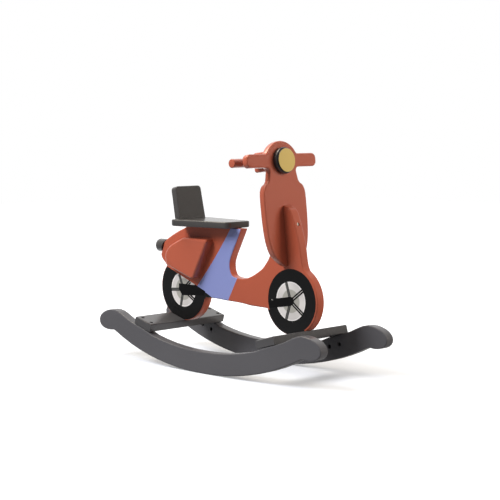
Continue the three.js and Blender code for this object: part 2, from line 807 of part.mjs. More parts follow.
const sides = { right: -1, left: 1 };
const cornerNames = {
  front: ['right_inner', 'right_outer', 'left_inner', 'left_outer'],
  rear: ['left_inner', 'left_outer', 'right_inner', 'right_outer'],
};

const boltPieces = ends.flatMap((end) => boltPlaces.map((place, index) => (
  piece(`${end}_bolt_${cornerNames[end][index]}`, placed(bolt(), place, boardFrames[end]),
    finishes.blackSteel)
)));
const nutPieces = ends.flatMap((end) => boltPlaces.map((place, index) => (
  piece(`${end}_barrel_nut_${cornerNames[end][index]}`, placed(barrelNut(), place, boardFrames[end]),
    finishes.zincSteel)
)));
const panelScrewPieces = ends.flatMap((end) => panelScrewPlaces.map((place, index) => (
  piece(`${end}_panel_screw_${index + 1}`,
    placed(screw(panelScrewLength), headDown, place, boardFrames[end]), finishes.zincSteel)
)));

const base = assembly('rocking_base', [
  ...Object.entries(sides).map(([name, side]) => piece(`rocker_${name}`, rocker(side), finishes.charcoal)),
  ...ends.map((end) => piece(`${end}_cross_board`, crossBoard(boardFrames[end]), finishes.charcoal)),
  ...boltPieces,
  ...nutPieces,
]);

const body = assembly('scooter_body', [
  piece('main_panel', mainPanel(), finishes.orange),
  ...panelScrewPieces,
  ...Object.entries(sides).map(([name, side]) => piece(`cowl_${name}`, cowl(side), finishes.orange)),
  ...cowlDowelPlaces.map((place, index) => (
    piece(`cowl_dowel_${index + 1}`, placed(dowel(cowlDowelLength), place), finishes.beech)
  )),
  piece('seat', seat(), finishes.slate),
  ...seatDowelPlaces.map((place, index) => (
    piece(`seat_dowel_${index + 1}`, placed(dowel(seatDowelLength), place), finishes.beech)
  )),
  piece('backrest', backrest(), finishes.slate),
  ...backrestScrewPlaces.map((place, index) => (
    piece(`backrest_screw_${index + 1}`, placed(screw(backrestScrewLength), headDown, place),
      finishes.zincSteel)
  )),
  piece('tail_piece', tailPiece(), finishes.slate),
  piece('tail_dowel', placed(dowel(tailDowelLength), tailFrame), finishes.beech),
]);

const front = assembly('shield_and_handlebar', [
  piece('shield', shield(), finishes.orange),
  piece('fin_screw', placed(screw(finScrewLength), finScrewPlace, shieldFrame), finishes.blackSteel),
  piece('headlight_housing', headlightHousing(), finishes.black),
  piece('headlight_lens', headlightLens(), finishes.yellow),
  piece('headlight_dowel', placed(dowel(headlightDowelLength), headlightDowelPlace, shieldFrame),
    finishes.beech),
  piece('handlebar_block', handlebarBlock(), finishes.orange),
  ...blockScrewPlaces.map((place, index) => (
    piece(`block_screw_${index + 1}`, placed(screw(blockScrewLength), place, shieldFrame),
      finishes.zincSteel)
  )),
  piece('handlebar_dowel', handlebarDowel(), finishes.orange),
]);

const group = new THREE.Group();
group.name = 'rocking_scooter';
group.add(base, body, front);

export default group;
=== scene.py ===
"""Studio scene of a toddler's wooden rocking scooter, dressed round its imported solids.

The scooter is a panel of board cut to the side view of a motor scooter. It carries a seat,
a backrest and two cowls, and it stands on two cross boards that join two bowed rockers.
A second board, lapped across its front, is the leg shield, and holds the handlebar.
X points forward, Y to the rider's left and Z up. Lengths are in metres.
"""

import logging
import math
from dataclasses import dataclass, replace
from enum import Enum

import bmesh
import bpy
import numpy as np
from bpy.types import ID, Material, Mesh, NodeOutputs, NodeSocket, NodeTree, Object
from mathutils import Matrix, Vector


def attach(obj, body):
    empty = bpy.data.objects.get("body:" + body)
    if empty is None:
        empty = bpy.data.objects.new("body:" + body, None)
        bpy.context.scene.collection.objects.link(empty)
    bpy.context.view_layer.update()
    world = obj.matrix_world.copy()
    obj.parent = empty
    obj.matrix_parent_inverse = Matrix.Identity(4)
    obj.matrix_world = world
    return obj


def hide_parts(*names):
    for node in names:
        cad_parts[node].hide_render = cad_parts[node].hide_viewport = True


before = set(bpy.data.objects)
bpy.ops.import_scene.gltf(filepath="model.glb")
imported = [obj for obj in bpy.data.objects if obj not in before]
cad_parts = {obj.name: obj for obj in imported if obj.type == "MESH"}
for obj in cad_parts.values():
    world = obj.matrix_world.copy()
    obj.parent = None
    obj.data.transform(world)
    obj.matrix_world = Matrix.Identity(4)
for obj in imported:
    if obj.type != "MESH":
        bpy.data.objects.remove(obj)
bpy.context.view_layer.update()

Pair = tuple[float, float]
Triple = tuple[float, float, float]

MM = 0.001
ROOT = "root"
MERGE_DISTANCE = 0.001 * MM
SHARP_ANGLE = math.radians(50)
AREA_WEIGHT = 100
LEAST_COSINE = 1e-3

# A Mix node's inputs for the share and the two colours, and its output for the mixed one.
SHARE, FIRST, SECOND = 0, 6, 7
MIXED = 2

log = logging.getLogger("rocking_scooter")


class Grain(Enum):
    """The way the wood's fibres run in a board, as scales along X, Y and Z."""

    ALONG_X = (0.03, 1.0, 1.0)
    ALONG_Y = (1.0, 0.03, 1.0)
    ALONG_Z = (1.0, 1.0, 0.03)


class Side(Enum):
    """The two faces of the main panel, by the sign of Y."""

    RIGHT = -1
    LEFT = 1


class Join(Enum):
    """How masks of 0 and 1 are joined: where all of them are 1, or where any is."""

    ALL = "MINIMUM"
    ANY = "MAXIMUM"


def linear(hex_colour: str) -> tuple[float, float, float, float]:
    """Turn an sRGB hex colour into linear red, green, blue and alpha.

    Args:
        hex_colour: Six hex digits, such as "B45E46".

    Returns:
        The linear colour with an alpha of 1.
    """
    encoded = np.array([int(hex_colour[i : i + 2], 16) for i in (0, 2, 4)]) / 255
    decoded = np.where(encoded <= 0.04045, encoded / 12.92, ((encoded + 0.055) / 1.055) ** 2.4)
    return (*decoded.tolist(), 1.0)


def add_node(tree: NodeTree, kind: str, inputs: dict | None = None, **settings) -> NodeOutputs:
    """Add one node with its settings and fill or link its inputs.

    Args:
        tree: The node tree that gets the node.
        kind: The node's type, without the prefix ShaderNode.
        inputs: For each input's name or number, a plain value or an output to link.
        **settings: The node's own properties.

    Returns:
        The new node's outputs.
    """
    node = tree.nodes.new(f"ShaderNode{kind}")
    for name, value in settings.items():
        setattr(node, name, value)
    for key, value in (inputs or {}).items():
        if isinstance(value, NodeSocket):
            tree.links.new(value, node.inputs[key])
        else:
            node.inputs[key].default_value = value
    return node.outputs


def new_material(name: str) -> tuple[Material, NodeTree, NodeSocket]:
    """Make a node material that still lacks its look.

    Args:
        name: The material's name.

    Returns:
        The material, its node tree and the point on the surface.
    """
    material = bpy.data.materials.new(name)
    material.use_nodes = True
    tree = material.node_tree
    tree.nodes.clear()
    return material, tree, add_node(tree, "TexCoord")["Object"]


@dataclass(frozen=True)
class SprayedLacquer:
    """Pigmented satin lacquer sprayed on sanded birch plywood.

    The eye gets an even matt colour with a soft sheen, a trace of the fibres underneath
    and the fine dimpled skin that a spray gun leaves. Real fibres lie closer together:
    they are drawn this coarse so that they show at all. The material's name tells the
    grain, unless one board alone wears it.
    """

    name: str
    colour: str
    deep_colour: str
    roughness: float = 0.34
    gloss_level: float = 0.5
    ior: float = 1.48
    skin_weight: float = 0.5
    skin_roughness: float = 0.2
    sheen_change: float = 0.05
    sheen_pitch: float = 8 / 3 * MM
    fibre_pitch: float = 2.4 * MM
    peel_pitch: float = 1.6 * MM
    cloud_size: float = 140 * MM
    fibre_depth: float = 0.05 * MM
    peel_depth: float = 0.025 * MM
    relief_strength: float = 0.35
    one_board: bool = False

    def paint(self, tree: NodeTree, place: NodeSocket) -> NodeSocket:
        """Mix the two tones of the colour in soft clouds.

        Args:
            tree: The node tree.
            place: The point on the surface.

        Returns:
            The colour.
        """
        cloud = add_node(tree, "TexNoise", {"Vector": place, "Scale": 1 / self.cloud_size, "Detail": 3.0})
        tones = {SHARE: cloud["Fac"], FIRST: linear(self.deep_colour), SECOND: linear(self.colour)}
        return add_node(tree, "Mix", tones, data_type="RGBA")[MIXED]

    def relief(self, tree: NodeTree, place: NodeSocket, grain: Grain) -> NodeSocket:
        """Raise the fibres, and the spray's dimples on them.

        Args:
            tree: The node tree.
            place: The point on the surface.
            grain: The way the fibres run.

        Returns:
            The normal.
        """
        scales = tuple(scale / self.fibre_pitch for scale in grain.value)
        along = add_node(tree, "Mapping", {"Vector": place, "Scale": scales})
        fibres = add_node(tree, "TexNoise", {"Vector": along[0], "Scale": 1.0, "Detail": 2.0})
        peel = add_node(tree, "TexNoise", {"Vector": place, "Scale": 1 / self.peel_pitch, "Detail": 1.0})
        relief = {"Strength": self.relief_strength}
        for height, depth in ((fibres["Fac"], self.fibre_depth), (peel["Fac"], self.peel_depth)):
            relief |= {"Height": height, "Distance": depth}
            relief["Normal"] = add_node(tree, "Bump", relief)[0]
        return relief["Normal"]

    def material(self, grain: Grain) -> Material:
        """Make the lacquer for one board, with its sheen and relief.

        Args:
            grain: The way the board's fibres run.

        Returns:
            The material.
        """
        ending = "" if self.one_board else f"_{grain.name.lower()}"
        material, tree, place = new_material(self.name + ending)
        sheen = add_node(tree, "TexNoise", {"Vector": place, "Scale": 1 / self.sheen_pitch, "Detail": 2.0})
        limits = {"To Min": self.roughness - self.sheen_change, "To Max": self.roughness + self.sheen_change}
        rough = add_node(tree, "MapRange", {"Value": sheen["Fac"], **limits})
        look = {
            "Base Color": self.paint(tree, place),
            "Roughness": rough[0],
            "Normal": self.relief(tree, place, grain),
            "IOR": self.ior,
            "Specular IOR Level": self.gloss_level,
            "Coat Weight": self.skin_weight,
            "Coat Roughness": self.skin_roughness,
        }
        shader = add_node(tree, "BsdfPrincipled", look)
        add_node(tree, "OutputMaterial", {"Surface": shader[0]})
        return material


@dataclass(frozen=True)
class TyrePatch:
    """A disc of black paint, which may be masked off above a line that runs forward."""

    centre: Pair
    radius: float
    line: tuple[Pair, Pair] | None = None


@dataclass(frozen=True)
class PanelPaint(SprayedLacquer):
    """The main panel's lacquer with its masked stripe and tyres on the two faces.

    The stripe lies between a curved left border, the step-through and a slanted right
    border. The tyres and the wedge before the rear one are black. The panel's narrow
    edges keep the ground colour, as on a board whose faces are painted last.
    """

    stripe_colour: str = "868FC4"
    tyre_colour: str = "050506"
    tyres: tuple[TyrePatch, ...] = ()
    stripe_foot: Pair = (-132.2 * MM, 185.9 * MM)
    stripe_slope: float = 0.918
    stripe_curve: float = -0.83
    belly_point: Pair = (-70.7 * MM, 158.0 * MM)
    belly_height: float = 156.5 * MM
    stripe_right_top: Pair = (6.1 * MM, 214.3 * MM)
    stripe_right_foot: Pair = (-25.4 * MM, 157.6 * MM)
    face_limit: float = 0.6

    def joined(self, tree: NodeTree, masks: list[NodeSocket], join: Join) -> NodeSocket:
        """Join masks into one.

        Args:
            tree: The node tree.
            masks: The masks, each 0 or 1.
            join: Whether all or any of them have to be 1.

        Returns:
            The joined mask.
        """
        whole = masks[0]
        for mask in masks[1:]:
            whole = add_node(tree, "Math", {0: whole, 1: mask}, operation=join.value)[0]
        return whole

    def beside(self, tree: NodeTree, place: NodeSocket, start: Pair, end: Pair) -> NodeSocket:
        """Mask the side that lies left of the way from start to end, seen from the right.

        A point is there if its product with the line's normal (-dz, dx) exceeds that of start.

        Args:
            tree: The node tree.
            place: The point on the surface.
            start: A point of the line, as X and Z.
            end: A later point of the line, as X and Z.

        Returns:
            The mask.
        """
        normal = (start[1] - end[1], 0.0, end[0] - start[0])
        reach = add_node(tree, "VectorMath", {0: place, 1: normal}, operation="DOT_PRODUCT")["Value"]
        limit = normal[0] * start[0] + normal[2] * start[1]
        return add_node(tree, "Math", {0: reach, 1: limit}, operation="GREATER_THAN")[0]

    def inside(self, tree: NodeTree, place: NodeSocket, corners: list[Pair]) -> NodeSocket:
        """Mask a convex area.

        Args:
            tree: The node tree.
            place: The point on the surface.
            corners: X and Z of its corners, anticlockwise seen from the right.

        Returns:
            The mask.
        """
        sides = zip(corners, [*corners[1:], corners[0]])
        return self.joined(tree, [self.beside(tree, place, *ends) for ends in sides], Join.ALL)

    def stripe(self, tree: NodeTree, place: NodeSocket) -> NodeSocket:
        """Mask the stripe: x > foot + slope h + curve h h, at the height h over its foot.

        Args:
            tree: The node tree.
            place: The point on the surface.

        Returns:
            The mask.
        """
        foot_x, foot_z = self.stripe_foot
        x, _, z = add_node(tree, "SeparateXYZ", {0: place})
        height = add_node(tree, "Math", {0: z, 1: foot_z}, operation="SUBTRACT")[0]
        bend = {0: height, 1: self.stripe_curve, 2: self.stripe_slope}
        slope = add_node(tree, "Math", bend, operation="MULTIPLY_ADD")[0]
        border = add_node(tree, "Math", {0: height, 1: slope, 2: foot_x}, operation="MULTIPLY_ADD")[0]
        after_border = add_node(tree, "Math", {0: x, 1: border}, operation="GREATER_THAN")[0]
        over_belly = self.beside(tree, place, self.stripe_foot, self.belly_point)
        behind_step = self.beside(tree, place, self.stripe_right_foot, self.stripe_right_top)
        return self.joined(tree, [after_border, over_belly, behind_step], Join.ALL)

    def black(self, tree: NodeTree, place: NodeSocket) -> NodeSocket:
        """Mask the tyres and the wedge before the rear one.

        Args:
            tree: The node tree.
            place: The point on the surface.

        Returns:
            The mask.
        """
        foot, belly = self.stripe_foot, self.belly_point
        wedge = [foot, (foot[0], self.belly_height), (belly[0], self.belly_height), belly]
        masks = [self.inside(tree, place, wedge)]
        flat = add_node(tree, "VectorMath", {0: place, 1: (1, 0, 1)}, operation="MULTIPLY")[0]
        for tyre in self.tyres:
            ends = {0: flat, 1: (tyre.centre[0], 0, tyre.centre[1])}
            reach = add_node(tree, "VectorMath", ends, operation="DISTANCE")["Value"]
            disc = add_node(tree, "Math", {0: reach, 1: tyre.radius}, operation="LESS_THAN")[0]
            if tyre.line:
                under_line = self.beside(tree, place, *reversed(tyre.line))
                disc = self.joined(tree, [disc, under_line], Join.ALL)
            masks.append(disc)
        return self.joined(tree, masks, Join.ANY)

    def paint(self, tree: NodeTree, place: NodeSocket) -> NodeSocket:
        """Lay the ground colour, then the stripe and then the black, on the faces only.

        Args:
            tree: The node tree.
            place: The point on the surface.

        Returns:
            The colour.
        """
        normal = add_node(tree, "NewGeometry")["Normal"]
        _, across, _ = add_node(tree, "SeparateXYZ", {0: normal})
        sideways = add_node(tree, "Math", {0: across}, operation="ABSOLUTE")[0]
        on_face = add_node(tree, "Math", {0: sideways, 1: self.face_limit}, operation="GREATER_THAN")[0]
        colour = super().paint(tree, place)
        for mask, paint in (
            (self.stripe(tree, place), self.stripe_colour),
            (self.black(tree, place), self.tyre_colour),
        ):
            share = self.joined(tree, [mask, on_face], Join.ALL)
            layers = {SHARE: share, FIRST: colour, SECOND: linear(paint)}
            colour = add_node(tree, "Mix", layers, data_type="RGBA")[MIXED]
        return colour


@dataclass(frozen=True)
class ScreenInk:
    """Ink pressed through a screen on to lacquer: flat, with the mesh's fine tooth.

    Where the ink has a centre, its two tones alternate round it in soft sectors, as on a
    disc of spun metal. The mesh is drawn coarser than it is, so that it shows.
    """

    name: str
    colour: str
    pale_colour: str
    roughness: float = 0.5
    gloss_level: float = 0.25
    ior: float = 1.5
    mesh_pitch: float = 0.9 * MM
    tooth_depth: float = 0.02 * MM
    tooth_strength: float = 0.2
    cloud_size: float = 30 * MM
    centre: Pair | None = None
    sectors: float = 3.0
    sector_turn: float = math.radians(40)

    def tone(self, tree: NodeTree, place: NodeSocket) -> NodeSocket:
        """Find the share of the pale tone: clouds, or 0.5 + 0.5 cos(sectors a + turn) at the angle a.

        Args:
            tree: The node tree.
            place: The point on the surface.

        Returns:
            The share, from 0 to 1.
        """
        if self.centre is None:
            cloud = {"Vector": place, "Scale": 1 / self.cloud_size, "Detail": 2.0}
            return add_node(tree, "TexNoise", cloud)["Fac"]
        middle = (self.centre[0], 0.0, self.centre[1])
        offset = add_node(tree, "VectorMath", {0: place, 1: middle}, operation="SUBTRACT")[0]
        x, _, z = add_node(tree, "SeparateXYZ", {0: offset})
        angle = add_node(tree, "Math", {0: z, 1: x}, operation="ARCTAN2")[0]
        turning = {0: angle, 1: self.sectors, 2: self.sector_turn}
        turned = add_node(tree, "Math", turning, operation="MULTIPLY_ADD")[0]
        wave = add_node(tree, "Math", {0: turned}, operation="COSINE")[0]
        return add_node(tree, "MapRange", {"Value": wave, "From Min": -1.0, "From Max": 1.0})[0]

    def material(self) -> Material:
        """Make the ink.

        Returns:
            The material.
        """
        material, tree, place = new_material(self.name)
        share = self.tone(tree, place)
        tones = {SHARE: share, FIRST: linear(self.colour), SECOND: linear(self.pale_colour)}
        colour = add_node(tree, "Mix", tones, data_type="RGBA")[MIXED]
        tooth = add_node(tree, "TexNoise", {"Vector": place, "Scale": 1 / self.mesh_pitch, "Detail": 0.0})
        relief = {"Height": tooth["Fac"], "Strength": self.tooth_strength, "Distance": self.tooth_depth}
        bump = add_node(tree, "Bump", relief)
        look = {
            "Base Color": colour,
            "Roughness": self.roughness,
            "Normal": bump[0],
            "IOR": self.ior,
            "Specular IOR Level": self.gloss_level,
        }
        shader = add_node(tree, "BsdfPrincipled", look)
        add_node(tree, "OutputMaterial", {"Surface": shader[0]})
        return material


@dataclass(frozen=True)
class PlatedSteel:
    """Cold-headed steel with a thin coat: the eye gets a dull metal with fine drawn scratches.

    The scratches are drawn coarser than they are, so that they show. A coat of oxide
    hides the metal, so its metallic share is 0.
    """

    name: str
    colour: str
    worn_colour: str
    roughness: float = 0.38
    sheen_change: float = 0.08
    metallic: float = 1.0
    gloss_level: float = 0.5
    scratch_pitch: float = 0.5 * MM
    scratch_depth: float = 0.02 * MM
    scratch_strength: float = 0.2

    def material(self) -> Material:
        """Make the steel.

        Returns:
            The material.
        """
        material, tree, place = new_material(self.name)
        noise = {"Vector": place, "Scale": 1 / self.scratch_pitch, "Detail": 2.0}
        scratch = add_node(tree, "TexNoise", noise)["Fac"]
        tones = {SHARE: scratch, FIRST: linear(self.colour), SECOND: linear(self.worn_colour)}
        colour = add_node(tree, "Mix", tones, data_type="RGBA")[MIXED]
        limits = {"To Min": self.roughness - self.sheen_change, "To Max": self.roughness + self.sheen_change}
        rough = add_node(tree, "MapRange", {"Value": scratch, **limits})
        relief = {"Height": scratch, "Strength": self.scratch_strength, "Distance": self.scratch_depth}
        bump = add_node(tree, "Bump", relief)
        look = {
            "Base Color": colour,
            "Metallic": self.metallic,
            "Specular IOR Level": self.gloss_level,
            "Roughness": rough[0],
            "Normal": bump[0],
        }
        shader = add_node(tree, "BsdfPrincipled", look)
        add_node(tree, "OutputMaterial", {"Surface": shader[0]})
        return material


@dataclass(frozen=True)
class BareBeech:
    """Turned beech left bare: pale, with short darker flecks along the dowel."""

    name: str = "beech_turned_bare"
    colour: str = "CBAA7A"
    fleck_colour: str = "A98257"
    fleck_pitch: float = 1.2 * MM
    roughness: float = 0.55

    def material(self) -> Material:
        """Make the wood.

        Returns:
            The material.
        """
        material, tree, place = new_material(self.name)
        scales = tuple(scale / self.fleck_pitch for scale in Grain.ALONG_Y.value)
        along = add_node(tree, "Mapping", {"Vector": place, "Scale": scales})
        fleck = add_node(tree, "TexNoise", {"Vector": along[0], "Scale": 1.0, "Detail": 3.0})
        tones = {SHARE: fleck["Fac"], FIRST: linear(self.colour), SECOND: linear(self.fleck_colour)}
        colour = add_node(tree, "Mix", tones, data_type="RGBA")[MIXED]
        shader = add_node(tree, "BsdfPrincipled", {"Base Color": colour, "Roughness": self.roughness})
        add_node(tree, "OutputMaterial", {"Surface": shader[0]})
        return material


@dataclass(frozen=True)
class WheelSize:
    """The printed wheel: X and Z of its hub, and how far its colours reach."""

    hub: Pair
    rim_radius: float = 45.4 * MM
    bright_edge: float = 2.4 * MM
    soft_step: float = 1.8 * MM
    hub_disc_radius: float = 26.8 * MM
    spoke_width: float = 7.8 * MM
    spoke_core: float = 4.0 * MM
    spoke_start: float = 6.0 * MM
    first_spoke: float = math.radians(36.2)
    spoke_count: int = 5


REAR_WHEEL = WheelSize((-181.6 * MM, 173.8 * MM), rim_radius=43.3 * MM, first_spoke=math.radians(40.8))
FRONT_WHEEL = WheelSize((180.5 * MM, 175.7 * MM))
BODY_LINE = ((-242.7 * MM, 227.0 * MM), (-132.2 * MM, 185.9 * MM))
BELLY_LINE = ((107.5 * MM, 151.5 * MM), (224.5 * MM, 112.2 * MM))
TYRES = (
    TyrePatch((-182.0 * MM, 176.7 * MM), 78.5 * MM, BODY_LINE),
    TyrePatch((183.2 * MM, 176.2 * MM), 74.4 * MM),
    TyrePatch((182.0 * MM, 176.7 * MM), 79.0 * MM, BELLY_LINE),
)

BURNT_ORANGE = ("B35A41", "AB533B")
ORANGE = SprayedLacquer("burnt_orange_lacquer_sprayed", *BURNT_ORANGE)
UPRIGHT_ORANGE = SprayedLacquer("burnt_orange_lacquer_upright", *BURNT_ORANGE, skin_weight=0.95)
PANEL = PanelPaint(
    "burnt_orange_lacquer_masked",
    *BURNT_ORANGE,
    gloss_level=0.38,
    skin_weight=0.42,
    one_board=True,
    tyres=TYRES,
)
CHARCOAL = SprayedLacquer("charcoal_lacquer_sprayed", "5A595C", "545356", gloss_level=0.35, skin_weight=0.2)
# The cross boards wear the rockers' charcoal lacquer, painted darker: painted shade for the shade that falls
# on them under the body.
SHADED_BOARD_CHARCOAL = SprayedLacquer("dark_charcoal_lacquer_sprayed", "4C4B4C", "464546")
SLATE = SprayedLacquer(
    "slate_lacquer_sprayed",
    "464443",
    "413F3E",
    roughness=0.28,
    sheen_change=0.012,
    fibre_depth=0.02 * MM,
    peel_depth=0.006 * MM,
)
YELLOW = SprayedLacquer("straw_yellow_lacquer_sprayed", "D4B869", "CEB263")
BLACK = SprayedLacquer("black_lacquer_sprayed", "1D1D1F", "1A1A1C", roughness=0.4, skin_weight=1.0)
BLACK_STEEL = PlatedSteel(
    "steel_black_oxide", "0A0A0B", "101012", roughness=0.6, metallic=0.0, gloss_level=0.12
)
# The fin screw is zinc-plated, but its zinc is painted pale and partly diffuse: a painted highlight on its
# small head.
HIGHLIT_ZINC_STEEL = PlatedSteel("steel_zinc_painted_highlight", "E8E0D2", "F0EADF", roughness=0.45, metallic=0.3)
# The barrel nuts are zinc-plated, but their zinc is painted near black: painted shade for the deep bores
# that they sit in.
SHADED_ZINC_STEEL = PlatedSteel("steel_zinc_painted_shade", "2C2D2F", "38393B", roughness=0.5)
ZINC_STEEL = PlatedSteel("steel_zinc_plated", "B8BABE", "C8CACE")
BEECH = BareBeech()


class Ink(Enum):
    """The inks of a printed wheel, in the order of their materials on the print."""

    EDGE = ScreenInk("near_white_screen_ink", "E6E2E0", "EAE6E4")
    RIM = ScreenInk("pale_grey_screen_ink", "CAC6C3", "D8D4D1")
    STEP = ScreenInk("soft_grey_screen_ink", "C6C3BF", "CBC8C4")
    HUB = ScreenInk("mid_grey_screen_ink", "A3A199", "A8A69E")
    SPOKE = ScreenInk("dark_grey_screen_ink", "262625", "2A2A29")
    CORE = ScreenInk("slate_grey_screen_ink", "50504E", "565654")
    LINE = ScreenInk("light_grey_screen_ink", "B9B6B1", "C2BFBA")
    BLACK = ScreenInk("black_screen_ink", "040405", "060607")


def place_piece(piece: Object, slot: str, *nodes: str) -> None:
    """Let a piece ride on the scooter and let it stand for CAD nodes.

    Args:
        piece: The finished piece.
        slot: The material slot that it takes its finish from. It is not used.
        *nodes: The CAD nodes that it stands for.
    """
    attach(piece, ROOT)
    if nodes:
        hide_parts(*nodes)
    log.info("piece %s, %d faces, stands for %s", piece.name, len(piece.data.polygons), nodes or "nothing")


def new_object(name: str, data: ID, *materials: Material) -> Object:
    """Put an object into the scene at the world's origin.

    Args:
        name: The object's name.
        data: Its mesh, camera or lamp.
        *materials: A mesh's finishes, in the order of their numbers on the faces.

    Returns:
        The object.
    """
    for material in materials:
        data.materials.append(material)
    added = bpy.data.objects.new(name, data)
    bpy.context.scene.collection.objects.link(added)
    return added


def smooth_mesh(mesh: Mesh, turn_outwards: bool) -> None:
    """Merge a mesh's doubled corners and shade it smooth up to its sharp edges.

    Args:
        mesh: The mesh.
        turn_outwards: Whether its faces have yet to be turned outwards.
    """
    shape = bmesh.new()
    shape.from_mesh(mesh)
    bmesh.ops.remove_doubles(shape, verts=shape.verts, dist=MERGE_DISTANCE)
    if turn_outwards:
        bmesh.ops.recalc_face_normals(shape, faces=shape.faces)
    shape.to_mesh(mesh)
    shape.free()
    if "custom_normal" in mesh.attributes:
        mesh.attributes.remove(mesh.attributes["custom_normal"])
    mesh.shade_smooth()
    mesh.set_sharp_from_angle(angle=SHARP_ANGLE)


def eased_copy(node: str, name: str, material: Material) -> Object:
    """Copy a CAD node and merge its corners, so that light runs smoothly over its eased edges.

    Args:
        node: The CAD node's name.
        name: The new piece's name.
        material: Its finish.

    Returns:
        The new piece, with normals weighted by area.
    """
    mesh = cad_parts[node].data.copy()
    mesh.name = name
    mesh.materials.clear()
    smooth_mesh(mesh, turn_outwards=False)
    piece = new_object(name, mesh, material)
    weighted = piece.modifiers.new("even_faces", "WEIGHTED_NORMAL")
    weighted.keep_sharp = True
    weighted.weight = AREA_WEIGHT
    return piece


def dress_node(node: str, material: Material) -> None:
    """Give a CAD node, shown as it is, its finish.

    Args:
        node: The CAD node's name.
        material: Its finish.
    """
    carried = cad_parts[node]
    if not carried.material_slots:
        carried.data.materials.append(material)
    for slot in carried.material_slots:
        slot.material = material
    log.info("node %s, %s", node, material.name)


def round_angles(steps: int) -> np.ndarray:
    """Return the angles of one turn in even steps, without its end."""
    return np.linspace(0, math.tau, steps, endpoint=False)


def unit_vectors(angles: np.ndarray) -> np.ndarray:
    """Return (cos a, sin a) of each angle a, one row each."""
    return np.column_stack([np.cos(angles), np.sin(angles)])


def quarter_round(start: Pair, end: Pair, steps: int = 12) -> np.ndarray:
    """Ease a corner of a profile with a quarter ellipse.

    The radius runs from start to end as a cosine and the height as a sine, so the curve
    leaves start along the axis and meets end across it.

    Args:
        start: Radius and height where the straight side ends.
        end: Radius and height where the face begins.
        steps: Its number of straight parts.

    Returns:
        Radius and height of each point, one row each.
    """
    turn = np.linspace(0, math.pi / 2, steps + 1)
    radius = end[0] + (start[0] - end[0]) * np.cos(turn)
    height = start[1] + (end[1] - start[1]) * np.sin(turn)
    return np.column_stack([radius, height])


@dataclass(frozen=True)
class Turning:
    """A piece turned on a lathe: a closed profile carried round an axis in the middle plane."""

    name: str
    profile: np.ndarray
    foot: Pair
    rake: float
    steps: int = 128

    def axis(self) -> np.ndarray:
        """Return the way that the axis points."""
        return np.array([math.cos(self.rake), 0, math.sin(self.rake)])

    def mesh(self) -> Mesh:
        """Carry the profile: p(t, a) = foot + h(t) axis + r(t) (cos a across + sin a up).

        Returns:
            The closed mesh, whose faces point outwards.
        """
        up = np.array([-math.sin(self.rake), 0, math.cos(self.rake)])
        across = np.array([0.0, 1.0, 0.0])
        foot = np.array([self.foot[0], 0, self.foot[1]])
        round_axis = unit_vectors(round_angles(self.steps)) @ np.array([across, up])
        radius, height = self.profile.T
        points = foot + height[:, None, None] * self.axis() + radius[:, None, None] * round_axis
        rows = len(self.profile)
        ring, row = np.meshgrid(np.arange(self.steps), np.arange(rows))
        after = (ring + 1) % self.steps
        below = (row + 1) % rows
        corners = [row * self.steps + ring, row * self.steps + after]
        corners += [below * self.steps + after, below * self.steps + ring]
        faces = np.stack([corner.ravel() for corner in corners], axis=1)
        mesh = bpy.data.meshes.new(self.name)
        mesh.from_pydata(points.reshape(-1, 3).tolist(), [], faces.tolist())
        smooth_mesh(mesh, turn_outwards=True)
        return mesh


def merge_layers(layers: list[tuple[np.ndarray, list, int]]) -> tuple[np.ndarray, list, np.ndarray]:
    """Join the meshes of several printed layers.

    Args:
        layers: For each layer its points, its faces and its material's number.

    Returns:
        All points, all faces and the material's number of each face.
    """
    offsets = np.cumsum([0] + [len(points) for points, _, _ in layers])
    points = np.concatenate([points for points, _, _ in layers])
    faces = [[int(i + start) for i in face] for (_, fs, _), start in zip(layers, offsets) for face in fs]
    numbers = np.concatenate([np.full(len(fs), number) for _, fs, number in layers])
    return points, faces, numbers


def film(outline: np.ndarray, side: Side, face: float, lift: float) -> tuple[np.ndarray, list]:
    """Make a thin closed plate of ink with the given outline on one face of the panel.

    The outline is carried from Y = face - lift to Y = face + lift, mirrored to the side's
    sign, so half of it is sunk. Its two copies are the plate's faces, and a band of quads
    joins them.

    Args:
        outline: X and Z of each corner, anticlockwise seen from the right, one row each.
        side: The face that it lies on.
        face: The distance of the panel's face from its middle plane.
        lift: How far the ink stands over that face.

    Returns:
        Its points and faces, facing outwards.
    """
    count = len(outline)
    depth = np.full(count, side.value * (face - lift))
    inner = np.column_stack([outline[:, 0], depth, outline[:, 1]])
    outer = inner + [0, side.value * 2 * lift, 0]
    ring = np.arange(count)
    after = np.roll(ring, -1)
    band = np.column_stack([ring, after, after + count, ring + count])
    front = ring + count
    back = ring[::-1]
    faces = [front, back, *band] if side is Side.RIGHT else [front[::-1], back[::-1], *band[:, ::-1]]
    return np.concatenate([inner, outer]), [face.tolist() for face in faces]


